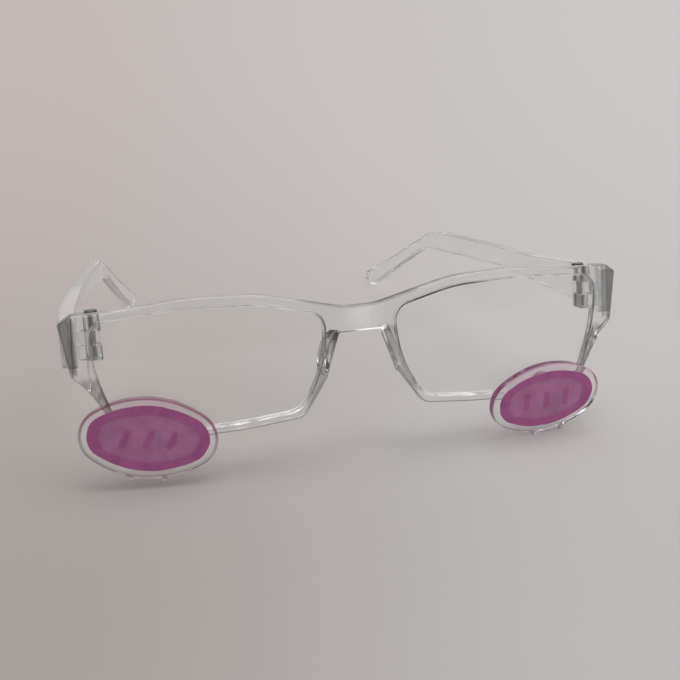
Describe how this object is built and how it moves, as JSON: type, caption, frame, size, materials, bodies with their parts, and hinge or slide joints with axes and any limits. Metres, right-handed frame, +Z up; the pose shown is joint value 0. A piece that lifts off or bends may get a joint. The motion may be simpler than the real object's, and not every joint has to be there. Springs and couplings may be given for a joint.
{
  "type": "novelty glasses",
  "caption": "Clear rectangular plastic glasses with clear lenses, folding temples and a printed oval cheek disc glued in front of each lower outer rim corner.",
  "frame": {"origin": "middle of the bounding box on the floor plane, with the glasses set down temples open on the left disc's lower edge and the ends of both temples", "axes": "+Z up from the floor; the front faces -Y and the temples run towards +Y; +X is the wearer's left"},
  "size_m": [0.139, 0.1407, 0.042],
  "materials": {
    "clear_front": "clear, polished",
    "clear_lens": "clear, polished",
    "clear_temple": "clear, polished",
    "screw_steel": "dark steel, slotted head",
    "clear_disc": "clear, polished",
    "print_field": "screen-printed ink, satin",
    "print_dark": "screen-printed ink, satin",
    "clear_glue": "clear, set adhesive"
  },
  "bodies": {
    "front": {"front_frame": "clear_front", "left_lens": "clear_lens", "right_lens": "clear_lens", "left_hinge_screw": "screw_steel", "right_hinge_screw": "screw_steel", "left_cheek_disc": "clear_disc", "right_cheek_disc": "clear_disc", "left_print_oval": "print_field", "right_print_oval": "print_field", "left_print_ring": "print_dark", "right_print_ring": "print_dark", "left_print_dashes": "print_dark", "right_print_dashes": "print_dark", "left_glue_dab": "clear_glue", "right_glue_dab": "clear_glue"},
    "left_temple": {"left_temple": "clear_temple"},
    "right_temple": {"right_temple": "clear_temple"}
  },
  "joints": [
    {"name": "left_fold", "type": "hinge", "parent": "front", "child": "left_temple", "pos_m": [0.0616, -0.05278, 0.03285], "axis": [0, 0.1688, 0.9857], "range_deg": [0, 81]},
    {"name": "right_fold", "type": "hinge", "parent": "front", "child": "right_temple", "pos_m": [-0.0616, -0.05278, 0.03285], "axis": [0, -0.1688, -0.9857], "range_deg": [0, 75]}
  ]
}
